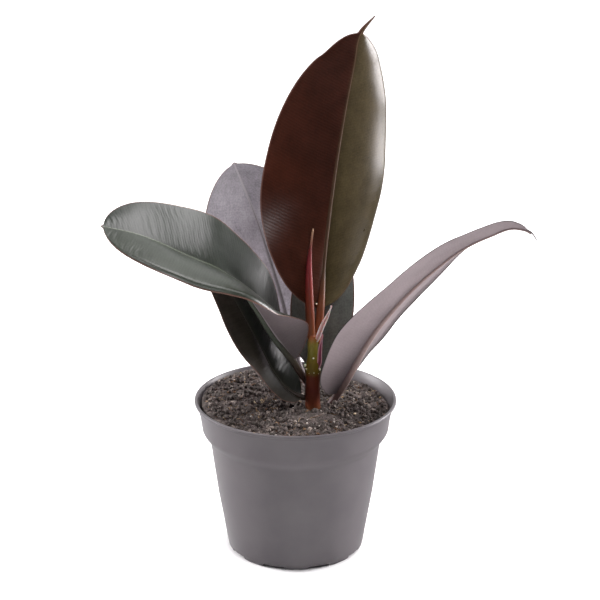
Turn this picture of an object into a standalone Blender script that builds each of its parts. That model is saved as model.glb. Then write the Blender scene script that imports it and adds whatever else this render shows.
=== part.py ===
"""Potted rubber plant: a young broad-leaved plant in a round grey nursery pot.

Sizes are in millimetres. The origin is the centre of the pot's base, +Z is up, and -Y is the front.
The plant's own points are (x, y, height above the soil), so the plant follows the soil when the pot changes.
"""

import math

import bmesh
import bpy
import numpy as np
from mathutils import Vector

MM = 0.001
GAP = 0.3  # clearance left between pieces that touch

# Pot
RIM_RADIUS = 60.0
POT_HEIGHT = 94.0
WALL = 1.2
LIP_HEIGHT = 1.6
LIP_OVERHANG = 2.3
LIP_ROUNDING = 0.4
LIP_FILLET = 2.0  # height of the small flare that carries the lip
LIP_FLARE = 0.5
COLLAR_HEIGHT = 18.0
COLLAR_TAPER = 2.0
STEP_HEIGHT = 8.5
STEP_DEPTH = 4.9
STEP_EASING = 4.0  # height below the step over which the wall turns straight
FOOT_RADIUS = 39.5
FOOT_ROUNDING = 1.6
FLOOR = 1.4
FLOOR_LIFT = 2.6
FOOT_RING = 2.2
CENTRE_PAD_RADIUS = 22.0
CENTRE_PAD_SLOPE = 3.0
NOTCHES = 9
NOTCH_ANGLE = 20.0
NOTCH_HEIGHT = 2.2
FIRST_NOTCH = -109.0
DRAIN_HOLE_RADIUS = 4.0
TURNS = 48  # facets round the pot and the soil

# Soil
SOIL_DROP = 5.0
SOIL_EDGE_SINK = 1.0
SOIL_UNEVENNESS = 0.4
SOIL_BANK_RISE = 4.4  # the soil is banked up on the left and at the back of it
SOIL_BANK_RUN = 38.0
SOIL_BANK_TURN = 0.35  # how far the bank is turned towards the back
SOIL_TILT = 1.0  # fall from the back to the front and from the middle to the right

# Stem: the radii at the foot, at the lower node and at the growing tip
STEM_DEPTH = 36.0
STEM_FOOT_RADIUS = 4.6
STEM_NODE_RADIUS = 4.7
STEM_TIP_RADIUS = 3.2

# Leaves
BLADE_THICKNESS = 0.7
ROLLED_MARGIN = 0.12  # share of a half's width, at its edge, that rolls under
MIDRIB_TIP_RADIUS = 0.55
MIDRIB_END = 0.94  # share of the leaf's length
MIDRIB_SINK = 0.6  # share of its radius that the midrib lies below the blade
BLADE_END_HALF_WIDTH = 0.6
BEND_STEPS = 40  # steps in which a half is bent from the midrib out
DRIP_TIP_WIDTH = 0.06  # share of the blade's width

# Sheath round the growing tip, and the old scales left at two nodes
SHEATH_RADIUS = 2.65
STIPULE_THICKNESS = 0.5

SOIL_LINE = POT_HEIGHT - SOIL_DROP

STEM_LINE = [
    (10.4, -1.0, -STEM_DEPTH, STEM_FOOT_RADIUS * 0.9),
    (10.4, -1.0, 0.0, STEM_FOOT_RADIUS),
    (10.1, -1.0, 12.0, STEM_FOOT_RADIUS * 0.94),
    (10.2, -0.7, 18.0, STEM_NODE_RADIUS * 0.94),
    (10.3, -0.3, 22.5, STEM_NODE_RADIUS),
    (10.3, 0.0, 27.0, STEM_NODE_RADIUS * 0.86),
    (10.2, 0.5, 31.5, STEM_TIP_RADIUS),
    (10.3, 1.4, 38.0, STEM_TIP_RADIUS),
    (10.8, 2.6, 43.5, STEM_TIP_RADIUS),
]

# The sheath is widest a little above its foot and ends in a thread.
SHEATH_LINE = [
    (9.6, 2.2, 41.0, SHEATH_RADIUS * 0.9),
    (9.0, 3.0, 47.0, SHEATH_RADIUS),
    (8.3, 4.0, 61.0, SHEATH_RADIUS),
    (7.9, 5.0, 78.0, SHEATH_RADIUS * 0.8),
    (8.2, 5.5, 90.0, SHEATH_RADIUS * 0.52),
    (8.9, 6.0, 97.0, SHEATH_RADIUS * 0.3),
    (10.3, 6.5, 108.0, SHEATH_RADIUS * 0.15),
]

# Each leaf: the line of its midrib from inside the stem to the drip tip, then, evenly spaced from the foot of
# the blade to its tip, the way the upper side faces, and the fold, the curl and the roll of each half in degrees.
# Fold lifts a half from the midrib, curl goes on bending it towards the margin, and roll bends the margin itself.
LEAVES = {
    "leaf_upright": {
        "line": [(12, 3, 38), (13, 6, 42), (15, 10, 61), (17, 13, 85), (23, 19, 135), (30, 23, 180),
                 (34, 23, 202), (37, 21, 219), (45, 16, 231)],
        "stalk": 22.0, "stalk_radius": 2.5, "half_width": 42.7, "base": 0.52, "point": 0.64, "drip": 0.08,
        "faces": [(0.3, -0.95, 0.15), (0.4, -0.9, 0.05), (0.45, -0.9, 0), (0.5, -0.7, -0.5)],
        "fold": ((25, -20, -12), (-7, 1, 3)), "curl": ((-15, -30, -30), (-40, -35, -29)),
        "roll": ((0, 0, 0), (0, -40, -40)),
    },
    "leaf_left": {
        "line": [(9, 1, 12), (5, 4, 16), (-2, 2, 28), (-14, -2, 48), (-23, -5, 64), (-34, -9, 81),
                 (-44, -11, 89), (-59, -14, 97), (-92, -21, 114), (-110, -24, 119)],
        "stalk": 20.0, "stalk_radius": 2.1, "half_width": 40.8, "base": 0.62, "point": 0.50, "drip": 0.01,
        "faces": [(0.7, 0.5, 0.5), (0.85, 0, 0.5), (0.57, -0.25, 0.78), (0.3, -0.4, 0.87)],
        "fold": ((45, 30, 12), (34, 12, 2)), "curl": ((20, -29, -6), (10, -3, -11)),
        "roll": ((0, -60, -40), (0, 0, 0)),
    },
    "leaf_rear_left": {
        "line": [(10, 1, 4), (8, 5, 8), (3, 16, 17), (-3, 30, 34), (-8, 41, 52), (-15, 51, 73),
                 (-23, 61, 95), (-38, 82, 127)],
        "stalk": 28.0, "stalk_radius": 1.9, "half_width": 40.0, "base": 0.50, "point": 0.60, "drip": 0.01,
        "faces": [(0, -0.85, 0.55), (0, -0.9, 0.4), (0, -0.9, 0.45), (0.1, -0.8, 0.6)],
        "fold": ((12, 6, 4), (10, 5, 4)), "curl": ((0, 0, 0), (0, 0, 0)),
        "roll": ((0, 0, 0), (0, -40, 0)),
    },
    "leaf_lower_left": {
        "line": [(10.5, 1, 3), (7, 1, 4), (2.5, 0.5, 5.5), (-4, 0, 10), (-11, -1, 19), (-20, -1, 37),
                 (-27, -1, 51), (-35, 0, 66), (-54, 6, 95)],
        "stalk": 7.5, "stalk_radius": 1.8, "half_width": 23.0, "base": 0.50, "point": 0.60, "drip": 0.05,
        "faces": [(0.5, -0.6, 0.7), (0.85, -0.35, 0.4), (0.8, -0.45, 0.4), (0.6, -0.6, 0.5)],
        "fold": ((25, 0, 6), (8, 0, 6)), "curl": ((0, 0, 0), (0, 0, 0)),
        "roll": ((0, 0, 0), (0, 0, 0)),
    },
    "leaf_right": {
        "line": [(12, 2, -9), (21, 5, -1), (28, 1, 12), (35, -4, 29), (45, -7, 48), (57, -10, 65), (79, -11, 88),
                 (98, -12, 103), (111, -14, 110), (125, -15, 115), (134, -17, 113), (138, -18, 108)],
        "stalk": 22.0, "stalk_radius": 2.2, "half_width": 35.0, "base": 0.44, "point": 0.63, "drip": 0.05,
        "faces": [(-0.58, 0.63, 0.5), (-0.58, 0.7, 0.42), (-0.51, 0.69, 0.51), (-0.35, 0.54, 0.76),
                  (0.2, 0.3, 0.9)],
        "fold": ((28, 25, 24, 21, 24), (5, 4, -1, 8, 25)),
        "curl": ((-8, -7, -6, -11, -13), (-10, -13, -18, -14, -6)),
        "roll": ((-20, -60, -60, -20, 0), (0, 0, 0)),
    },
    "leaf_rear_right": {
        "line": [(11, 1, 9), (13, 5.5, 11), (14, 11, 18), (15, 20, 37), (16, 28, 53), (18, 38, 72),
                 (22, 54, 97)],
        "stalk": 14.0, "stalk_radius": 1.9, "half_width": 19.8, "base": 0.50, "point": 0.60, "drip": 0.05,
        "faces": [(0, -0.95, 0.3), (0, -0.95, 0.3), (0, -0.95, 0.3)],
        "fold": ((16, 16, 12), (16, 16, 12)), "curl": ((0, 0, 0), (0, 0, 0)),
        "roll": ((0, 0, 0), (0, 0, 0)),
    },
}
BURIED_STALKS = ["leaf_right", "leaf_lower_left"]

# The old scales: narrow boat-shaped leftovers of earlier sheaths, each held at a node of the stem.
STIPULES = {
    "stipule_pale": {
        "line": [(12.6, 0.2, 40.5), (14.2, -1.6, 45), (16.4, -2, 51.5), (18.7, -2, 56.5), (21.2, -1, 63.2)],
        "half_width": 1.9, "faces": [(-0.5, -0.8, 0.3), (-0.4, -0.9, 0.1)],
    },
    "stipule_pink": {
        "line": [(12.6, -1.6, 23), (14.6, -2.4, 28), (14.9, -2.3, 34.5), (15.2, -2.2, 39), (16, -1.8, 45.6)],
        "half_width": 1.9, "faces": [(-0.6, -0.8, 0), (-0.5, -0.85, 0)],
    },
}


def clear_scene():
    for item in list(bpy.data.objects):
        bpy.data.objects.remove(item, do_unlink=True)


def new_collection(name):
    collection = bpy.data.collections.new(name)
    bpy.context.scene.collection.children.link(collection)
    return collection


def principled(name, color, roughness):
    material = bpy.data.materials.new(name)
    material.use_nodes = True
    shader = material.node_tree.nodes["Principled BSDF"]
    shader.inputs["Base Color"].default_value = (*color, 1.0)
    shader.inputs["Roughness"].default_value = roughness
    shader.inputs["Metallic"].default_value = 0.0
    return material


def add_piece(name, mesh, material):
    piece = bpy.data.objects.new(name, mesh)
    piece.data.materials.append(material)
    PLANT.objects.link(piece)
    return piece


def add_cutter(name, mesh):
    cutter = bpy.data.objects.new(name, mesh)
    CUTTERS.objects.link(cutter)
    cutter.hide_render = True
    cutter.display_type = "WIRE"
    return cutter


def combine(piece, tool, operation):
    step = piece.modifiers.new(tool.name, "BOOLEAN")
    step.operation = operation
    step.solver = "EXACT"
    step.use_self = operation == "UNION"
    step.object = tool


def finished_mesh(source, name):
    """The evaluated mesh of an object, with the object itself removed."""
    source.data.update_tag()
    graph = bpy.context.evaluated_depsgraph_get()
    mesh = bpy.data.meshes.new_from_object(source.evaluated_get(graph))
    mesh.name = name
    bpy.data.objects.remove(source, do_unlink=True)
    return mesh


def shade(mesh):
    mesh.shade_smooth()
    mesh.set_sharp_from_angle(angle=math.radians(40))


# Turned shapes


def turned_mesh(name, profile):
    """Turn a profile of (radius, height) about Z. It runs down the outer side and ends on the axis."""
    outline = bpy.data.meshes.new(name)
    points = [(radius * MM, 0, height * MM) for radius, height in profile]
    outline.from_pydata(points, [(i, i + 1) for i in range(len(points) - 1)], [])
    blank = bpy.data.objects.new(name, outline)
    CUTTERS.objects.link(blank)
    screw = blank.modifiers.new("turn", "SCREW")
    screw.steps = TURNS
    screw.render_steps = TURNS
    screw.use_merge_vertices = True
    screw.merge_threshold = 0.00001
    return finished_mesh(blank, name)


def pot_outer():
    """The outside of the wall from under the lip down to the foot, as (radius, height)."""
    collar_top = RIM_RADIUS - LIP_OVERHANG
    collar_foot = POT_HEIGHT - COLLAR_HEIGHT
    step_foot = collar_foot - STEP_HEIGHT
    body_top = collar_top - COLLAR_TAPER - STEP_DEPTH
    flare_top = POT_HEIGHT - LIP_HEIGHT - LIP_FILLET
    return [
        (collar_top + LIP_FLARE, flare_top),
        (collar_top, flare_top - LIP_FILLET),
        (collar_top - COLLAR_TAPER, collar_foot),
        (collar_top - COLLAR_TAPER - STEP_DEPTH * 0.2, collar_foot - STEP_HEIGHT * 0.2),
        (body_top + STEP_DEPTH * 0.2, step_foot + STEP_HEIGHT * 0.25),
        (body_top, step_foot),
        (body_top - STEP_DEPTH * 0.12, step_foot - STEP_EASING),
        (FOOT_RADIUS + FOOT_ROUNDING, FOOT_ROUNDING * 2.5),
        (FOOT_RADIUS + FOOT_ROUNDING * 0.7, FOOT_ROUNDING),
        (FOOT_RADIUS, 0.0),
    ]


def inner_wall(top, bottom, inset):
    """Points down the wall, moved in by inset, between two heights."""
    outer = pot_outer()
    heights = [height for _, height in outer][::-1]
    radii = [radius for radius, _ in outer][::-1]
    stations = [top] + [height for _, height in outer if bottom < height < top] + [bottom]
    return [(float(np.interp(height, heights, radii)) - inset, height) for height in stations]


def pot_profile():
    floor_top = FLOOR_LIFT + FLOOR
    lip = [
        (RIM_RADIUS - WALL * 1.3, POT_HEIGHT),
        (RIM_RADIUS - LIP_ROUNDING, POT_HEIGHT),
        (RIM_RADIUS, POT_HEIGHT - LIP_ROUNDING),
        (RIM_RADIUS, POT_HEIGHT - LIP_HEIGHT),
    ]
    underside = [
        (FOOT_RADIUS - FOOT_RING, 0.0),
        (FOOT_RADIUS - FOOT_RING, FLOOR_LIFT),
        (CENTRE_PAD_RADIUS + CENTRE_PAD_SLOPE, FLOOR_LIFT),
        (CENTRE_PAD_RADIUS, 0.0),
        (0.0, 0.0),
    ]
    inside = inner_wall(POT_HEIGHT - LIP_HEIGHT - LIP_FILLET, floor_top, WALL)[::-1]
    floor = [(0.0, FLOOR), (CENTRE_PAD_RADIUS, FLOOR), (CENTRE_PAD_RADIUS + CENTRE_PAD_SLOPE, floor_top)]
    return floor + inside + lip + pot_outer() + underside


def build_pot():
    mesh = turned_mesh("pot", pot_profile())
    shade(mesh)
    pot = add_piece("pot", mesh, principled("grey_nursery_plastic", (0.19, 0.18, 0.2), 0.5))
    notch = bmesh.new()
    drain = bmesh.new()
    width = 2 * FOOT_RADIUS * math.sin(math.radians(NOTCH_ANGLE / 2))
    depth = 4 * FOOT_RING
    drain_circle = (CENTRE_PAD_RADIUS + CENTRE_PAD_SLOPE + FOOT_RADIUS - FOOT_RING) / 2
    for i in range(NOTCHES):
        angle = math.radians(FIRST_NOTCH + 360 * i / NOTCHES)
        turn = Vector((math.cos(angle), math.sin(angle), 0)).to_track_quat("X", "Z").to_matrix().to_4x4()
        block = bmesh.ops.create_cube(notch, size=1.0)["verts"]
        bmesh.ops.scale(notch, vec=Vector((depth, width, NOTCH_HEIGHT * 2)) * MM, verts=block)
        bmesh.ops.translate(notch, vec=Vector((FOOT_RADIUS, 0, 0)) * MM, verts=block)
        bmesh.ops.transform(notch, matrix=turn, verts=block)
        hole = bmesh.ops.create_cone(
            drain, cap_ends=True, segments=12, depth=FLOOR * 4 * MM,
            radius1=DRAIN_HOLE_RADIUS * MM, radius2=DRAIN_HOLE_RADIUS * MM,
        )["verts"]
        bmesh.ops.translate(drain, vec=Vector((drain_circle, 0, FLOOR_LIFT)) * MM, verts=hole)
        bmesh.ops.transform(drain, matrix=turn, verts=hole)
    for name, shape in (("foot_notches", notch), ("drain_holes", drain)):
        mesh = bpy.data.meshes.new(name)
        shape.to_mesh(mesh)
        shape.free()
        combine(pot, add_cutter(name, mesh), "DIFFERENCE")


def soil_height(x, y):
    """Height of the soil's uneven top over the soil line, falling towards the wall."""
    radius = RIM_RADIUS - LIP_OVERHANG
    reach = min(1.0, math.hypot(x, y) / radius)
    waves = math.sin(x / 9.0 + 1.0) * math.cos(y / 7.0) + 0.6 * math.sin(x / 4.0 - y / 5.0)
    left = min(1.0, max(0.0, (SOIL_BANK_TURN * y - x) / SOIL_BANK_RUN))
    bank = SOIL_BANK_RISE * left * left * (3 - 2 * left) + SOIL_TILT * (y - max(0.0, x)) / radius
    return SOIL_UNEVENNESS * waves * (1 - reach ** 4) - SOIL_EDGE_SINK * reach ** 2 + bank


def build_soil(stem, stalks):
    bed = FLOOR_LIFT + FLOOR + GAP
    side = inner_wall(SOIL_LINE - SOIL_EDGE_SINK, bed, WALL + GAP)
    edge = side[0][0]
    top = [(edge * k / 6, SOIL_LINE) for k in range(6)]
    bottom = [
        (CENTRE_PAD_RADIUS + CENTRE_PAD_SLOPE, bed),
        (CENTRE_PAD_RADIUS, FLOOR + GAP),
        (0.0, FLOOR + GAP),
    ]
    mesh = turned_mesh("soil", top + side + bottom)
    for vertex in mesh.vertices:
        x, y, z = (value / MM for value in vertex.co)
        if z > SOIL_LINE - SOIL_EDGE_SINK - 0.1:
            height = SOIL_LINE + soil_height(x, y)
            if math.hypot(x, y) > edge - 0.1:
                x, y = (value * inner_wall(height, bed, WALL + GAP)[0][0] / edge for value in (x, y))
            vertex.co = Vector((x, y, height)) * MM
    shade(mesh)
    soil = add_piece("soil", mesh, principled("damp_peat", (0.05, 0.035, 0.03), 0.95))
    combine(soil, stem, "DIFFERENCE")
    for stalk in stalks:
        combine(soil, stalk, "DIFFERENCE")


# Round stalks


def smooth_line(points, stations):
    """A smooth curve through the points, read at stations given as fractions of its length."""
    points = np.array(points, float)
    reach = np.concatenate([[0], np.cumsum(np.linalg.norm(np.diff(points, axis=0), axis=1))])
    reach /= reach[-1]
    steps = np.diff(points, axis=0) / np.diff(reach)[:, None]
    before = np.diff(reach)[:-1, None]
    after = np.diff(reach)[1:, None]
    inner = (steps[:-1] * after + steps[1:] * before) / (before + after)
    slopes = np.vstack([steps[:1], inner, steps[-1:]])
    span = np.clip(np.searchsorted(reach, stations, side="right") - 1, 0, len(points) - 2)
    width = np.diff(reach)[span][:, None]
    t = (stations[:, None] - reach[span][:, None]) / width
    return (
        (2 * t ** 3 - 3 * t ** 2 + 1) * points[span]
        + (t ** 3 - 2 * t ** 2 + t) * width * slopes[span]
        + (3 * t ** 2 - 2 * t ** 3) * points[span + 1]
        + (t ** 3 - t ** 2) * width * slopes[span + 1]
    )


def tube_mesh(name, points, radii, sides=3):
    """A round stalk through the points, with a radius at each, its ends capped."""
    curve = bpy.data.curves.new(name, "CURVE")
    curve.dimensions = "3D"
    curve.bevel_depth = MM
    curve.bevel_resolution = sides
    curve.use_fill_caps = True
    spline = curve.splines.new("POLY")
    spline.points.add(len(points) - 1)
    for spot, (x, y, height), radius in zip(spline.points, points, radii):
        spot.co = (x * MM, y * MM, (height + SOIL_LINE) * MM, 1)
        spot.radius = radius
    blank = bpy.data.objects.new(name, curve)
    CUTTERS.objects.link(blank)
    mesh = finished_mesh(blank, name)
    weld = bmesh.new()
    weld.from_mesh(mesh)
    bmesh.ops.remove_doubles(weld, verts=weld.verts, dist=0.000001)
    bmesh.ops.triangulate(weld, faces=weld.faces)
    weld.to_mesh(mesh)
    weld.free()
    return mesh


def swollen(points, radii):
    """The same line grown by the gap on all sides, its ends too: the space that it needs."""
    ends = unit(np.array([points[0] - points[1], points[-1] - points[-2]]))
    return np.vstack([points[0] + ends[0] * GAP, points[1:-1], points[-1] + ends[1] * GAP]), radii + GAP


def line_with_radii(rows, count):
    """Resample rows of (x, y, height, radius)."""
    line = smooth_line(rows, np.linspace(0, 1, count))
    return line[:, :3], line[:, 3]


def build_stem():
    points, radii = line_with_radii(STEM_LINE, 22)
    mesh = tube_mesh("stem", points, radii)
    shade(mesh)
    add_piece("stem", mesh, principled("stem_bark", (0.06, 0.04, 0.015), 0.5))
    return add_cutter("stem_space", tube_mesh("stem_space", *swollen(points, radii)))


def build_sheath(stem):
    points, radii = line_with_radii(SHEATH_LINE, 16)
    mesh = tube_mesh("bud_sheath", points, radii)
    shade(mesh)
    sheath = add_piece("bud_sheath", mesh, principled("red_sheath", (0.2, 0.03, 0.025), 0.4))
    combine(sheath, stem, "DIFFERENCE")
    return add_cutter("sheath_space", tube_mesh("sheath_space", *swollen(points, radii)))


# Leaves


def blend(values, u):
    """Values evenly spaced from 0 to 1, read at u with soft steps between them."""
    values = np.atleast_2d(np.array(values, float).T).T
    place = u * (len(values) - 1)
    first = np.clip(np.floor(place).astype(int), 0, len(values) - 2)
    t = (place - first)[:, None]
    t = t * t * (3 - 2 * t)
    return values[first] * (1 - t) + values[first + 1] * t


def outline(leaf, u):
    """Half the blade's width at u: an oval with a narrow drip tip."""
    base, point, drip = leaf["base"], leaf["point"], leaf["drip"]
    widest = base / (base + point)
    v = np.clip(u / (1 - drip), 0, 1)
    oval = v ** base * (1 - v) ** point / (widest ** base * (1 - widest) ** point)
    tip = DRIP_TIP_WIDTH * np.clip((1 - u) / (drip * 1.5), 0, 1) ** 0.6 * np.clip(u * 4, 0, 1)
    return np.maximum(leaf["half_width"] * (oval ** 4 + tip ** 4) ** 0.25, BLADE_END_HALF_WIDTH)


def thicken(blade, thickness):
    shell = blade.modifiers.new("thickness", "SOLIDIFY")
    shell.thickness = thickness * MM
    shell.offset = 0
    blade.modifiers.new("flat_facets", "TRIANGULATE")


def unit(vectors):
    return vectors / np.linalg.norm(vectors, axis=1, keepdims=True)


def spine(leaf, start, u):
    """Midrib points, upper-side directions and sideways directions at u, from start along the line."""
    fine = smooth_line(leaf["line"], np.linspace(0, 1, 400))
    reach = np.concatenate([[0], np.cumsum(np.linalg.norm(np.diff(fine, axis=0), axis=1))])

    def at(distance):
        return np.stack([np.interp(distance, reach, fine[:, k]) for k in range(3)], -1)

    distance = start + (reach[-1] - start) * u
    along = unit(at(distance + 1.5) - at(distance - 1.5))
    face = blend(leaf["faces"], u)
    face = unit(face - (face * along).sum(1, keepdims=True) * along)
    return at(distance), face, np.cross(along, face)


def blade_mesh(name, leaf, rows, columns):
    """A flat grid bent along the midrib: one side of the grid runs along the leaf, the other across it."""
    grid = bmesh.new()
    bmesh.ops.create_grid(grid, x_segments=columns, y_segments=rows, size=1.0)
    u = np.array([0.5 + 0.5 * math.sin(math.pi / 2 * vertex.co.y) for vertex in grid.verts])
    across = np.array([vertex.co.x for vertex in grid.verts])
    centre, face, side = spine(leaf, leaf["stalk"], u)
    rise = np.zeros(len(u))
    reach = np.zeros(len(u))
    for half, sign in ((0, -1), (1, 1)):
        fold = np.radians(blend(leaf["fold"][half], u)[:, 0])
        curl = np.radians(blend(leaf["curl"][half], u)[:, 0])
        share = np.clip(across * sign, 0, 1)
        roll = np.radians(blend(leaf["roll"][half], u)[:, 0])
        out = (np.arange(BEND_STEPS) + 0.5) / BEND_STEPS * share[:, None]
        margin = np.clip((out - 1 + ROLLED_MARGIN) / ROLLED_MARGIN, 0, 1)
        bend = fold[:, None] + curl[:, None] * out + roll[:, None] * margin
        reach += sign * np.cos(bend).mean(1) * share
        rise += np.sin(bend).mean(1) * share
    width = outline(leaf, u)[:, None]
    points = centre + width * (side * reach[:, None] + face * rise[:, None])
    for vertex, (x, y, height) in zip(grid.verts, points):
        vertex.co = Vector((x, y, height + SOIL_LINE)) * MM
    mesh = bpy.data.meshes.new(name)
    grid.to_mesh(mesh)
    grid.free()
    return mesh


def stalk_line(leaf):
    """The stalk and the midrib under the blade: points and radii."""
    u = np.linspace(0, MIDRIB_END, 16)
    centre, face, _ = spine(leaf, 0.0, u)
    fine = smooth_line(leaf["line"], np.linspace(0, 1, 400))
    length = np.linalg.norm(np.diff(fine, axis=0), axis=1).sum()
    blade = np.clip((u * length - leaf["stalk"]) / (length - leaf["stalk"]), 0, 1)
    radii = MIDRIB_TIP_RADIUS + (leaf["stalk_radius"] - MIDRIB_TIP_RADIUS) * (1 - blade) ** 2
    sink = MIDRIB_SINK * radii * np.clip(blade * 10, 0, 1)
    return centre - face * sink[:, None], radii


def build_leaf(name, leaf, material, spaces):
    blade = add_piece(name, blade_mesh(name, leaf, 18, 8), material)
    thicken(blade, BLADE_THICKNESS)
    points, radii = stalk_line(leaf)
    combine(blade, add_cutter(name + "_stalk", tube_mesh(name + "_stalk", points, radii, 2)), "UNION")
    for space in spaces:
        combine(blade, space, "DIFFERENCE")


def stalk_space(name, leaf):
    points, radii = stalk_line(leaf)
    return add_cutter(name + "_space", tube_mesh(name + "_space", *swollen(points, radii), 2))


def build_stipule(name, scale, material, stem):
    """A narrow scale, hollowed like a boat, drawn as a small leaf without a stalk."""
    boat = {"fold": ((30, 30), (30, 30)), "curl": ((20, 20), (20, 20)), "roll": ((0, 0), (0, 0))}
    shape = {**scale, **boat, "stalk": 0.0, "base": 0.35, "point": 0.8, "drip": 0.02}
    stipule = add_piece(name, blade_mesh(name, shape, 10, 4), material)
    thicken(stipule, STIPULE_THICKNESS)
    combine(stipule, stem, "DIFFERENCE")


clear_scene()
PLANT = new_collection("potted_rubber_plant")
CUTTERS = new_collection("cutters")

stem_space = build_stem()
sheath_space = build_sheath(stem_space)
build_pot()
build_soil(stem_space, [stalk_space(name, LEAVES[name]) for name in BURIED_STALKS])
leaf_green = principled("dark_leaf", (0.03, 0.025, 0.018), 0.35)
for leaf_name, leaf_shape in LEAVES.items():
    neighbours = [stem_space, sheath_space] if leaf_name == "leaf_upright" else [stem_space]
    build_leaf(leaf_name, leaf_shape, leaf_green, neighbours)
pale_scale = principled("pale_scale", (0.42, 0.23, 0.21), 0.6)
pink_scale = principled("pink_scale", (0.3, 0.05, 0.12), 0.5)
build_stipule("stipule_pale", STIPULES["stipule_pale"], pale_scale, stem_space)
build_stipule("stipule_pink", STIPULES["stipule_pink"], pink_scale, stem_space)
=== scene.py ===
"""The looks of a young rubber plant in a grey nursery pot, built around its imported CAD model.

Sizes are in millimetres and MM turns them into metres. Z is up and -Y is the front, as in the CAD model.
"""

import math
import random

import bmesh
import bpy
import numpy as np
from mathutils import Euler, Matrix, Vector, noise


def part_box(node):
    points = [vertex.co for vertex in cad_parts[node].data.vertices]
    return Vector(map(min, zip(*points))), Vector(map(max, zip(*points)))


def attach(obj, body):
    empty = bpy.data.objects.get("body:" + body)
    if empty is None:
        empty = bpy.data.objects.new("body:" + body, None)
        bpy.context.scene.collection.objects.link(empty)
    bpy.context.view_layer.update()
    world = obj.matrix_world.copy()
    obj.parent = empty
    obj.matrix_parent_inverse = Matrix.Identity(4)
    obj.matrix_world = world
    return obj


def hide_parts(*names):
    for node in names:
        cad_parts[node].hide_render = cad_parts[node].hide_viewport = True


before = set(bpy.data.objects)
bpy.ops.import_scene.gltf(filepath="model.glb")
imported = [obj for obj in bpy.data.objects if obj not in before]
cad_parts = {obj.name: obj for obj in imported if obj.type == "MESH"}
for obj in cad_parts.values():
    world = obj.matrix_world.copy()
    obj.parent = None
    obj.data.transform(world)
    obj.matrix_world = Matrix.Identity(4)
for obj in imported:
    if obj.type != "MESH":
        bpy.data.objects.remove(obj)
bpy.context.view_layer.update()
MM = 0.001

# ---------------------------------------------------------------------------------------------------------
# Camera
# A portrait lens, from a little over a metre away and just above the leaves, so the soil shows in the pot.
CAMERA_HEIGHT_ANGLE = math.radians(19.3)
CAMERA_DISTANCE = 1.2  # metres
LENS_LENGTH = 123.1
AIM = Vector((2.7, 0.0, 155.4)) * MM

lens = bpy.data.cameras.new("portrait_lens")
lens.lens = LENS_LENGTH
towards_camera = Vector((0, -math.cos(CAMERA_HEIGHT_ANGLE), math.sin(CAMERA_HEIGHT_ANGLE)))
camera = bpy.data.objects.new("camera", lens)
camera.location = AIM + CAMERA_DISTANCE * towards_camera
camera.rotation_euler = Euler((math.pi / 2 - CAMERA_HEIGHT_ANGLE, 0, 0))
bpy.context.scene.collection.objects.link(camera)
bpy.context.scene.camera = camera

# ---------------------------------------------------------------------------------------------------------
# Studio
# A pale painted floor in a room that is bright behind the plant and dark on the camera's side. Soft boxes
# stand over the front, over the top, behind and on both sides, with a small card low on the right. The glossy
# leaves show the boxes, the bright wall and the dark of the room.
bpy.context.scene.view_settings.view_transform = "Standard"


def linear(hex_colour):
    """An sRGB hex colour such as "6a6468" as linear red, green, blue and alpha."""
    parts = [int(hex_colour[i:i + 2], 16) / 255 for i in (0, 2, 4)]
    return [c / 12.92 if c <= 0.04045 else ((c + 0.055) / 1.055) ** 2.4 for c in parts] + [1.0]


def add_node(tree, kind, inputs=None, stops=None, **settings):
    """Add a shader node. An input is a value, a hex colour or a node's output; stops fill a colour ramp."""
    made = tree.nodes.new(kind)
    for name, value in settings.items():
        setattr(made, name, value)
    for socket, value in (inputs or {}).items():
        if isinstance(value, bpy.types.NodeSocket):
            tree.links.new(value, made.inputs[socket])
        elif isinstance(value, str):
            made.inputs[socket].default_value = linear(value)
        else:
            made.inputs[socket].default_value = value
    for place, value in enumerate(stops or []):
        ramp = made.color_ramp.elements
        stop = ramp[place] if place < 2 else ramp.new(value[0])
        stop.position = value[0]
        stop.color = linear(value[1])
    return made


def new_material(name):
    """An empty material: its node tree and its output node."""
    material = bpy.data.materials.new(name)
    material.use_nodes = True
    material.node_tree.nodes.clear()
    return material, material.node_tree, material.node_tree.nodes.new("ShaderNodeOutputMaterial")


# Matte white paint. It gives off a little light of its own, except under the pot, so it stays white.
DARK_UNDER_POT = 39.0
GLOW_FROM = 47.0
FLOOR_GLOW = 0.5
FLOOR_HALF_WIDTH = 6.0  # metres
painted_floor, tree, output = new_material("painted_floor")
place = add_node(tree, "ShaderNodeTexCoord")
from_middle = add_node(tree, "ShaderNodeVectorMath", {0: place.outputs["Object"]}, operation="LENGTH")
lit = add_node(
    tree, "ShaderNodeMapRange",
    {
        "Value": from_middle.outputs["Value"], "From Min": DARK_UNDER_POT * MM, "From Max": GLOW_FROM * MM,
        "To Max": FLOOR_GLOW,
    },
)
paint = add_node(
    tree, "ShaderNodeBsdfPrincipled",
    {
        "Base Color": "f4f4f4", "Roughness": 0.9, "Emission Color": "ffffff",
        "Emission Strength": lit.outputs[0],
    },
)
tree.links.new(paint.outputs[0], output.inputs["Surface"])

shape = bmesh.new()
bmesh.ops.create_grid(shape, x_segments=1, y_segments=1, size=FLOOR_HALF_WIDTH)
floor = bpy.data.objects.new("floor", bpy.data.meshes.new("floor"))
shape.to_mesh(floor.data)
shape.free()
floor.data.materials.append(painted_floor)
floor.visible_glossy = False
bpy.context.scene.collection.objects.link(floor)

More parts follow.
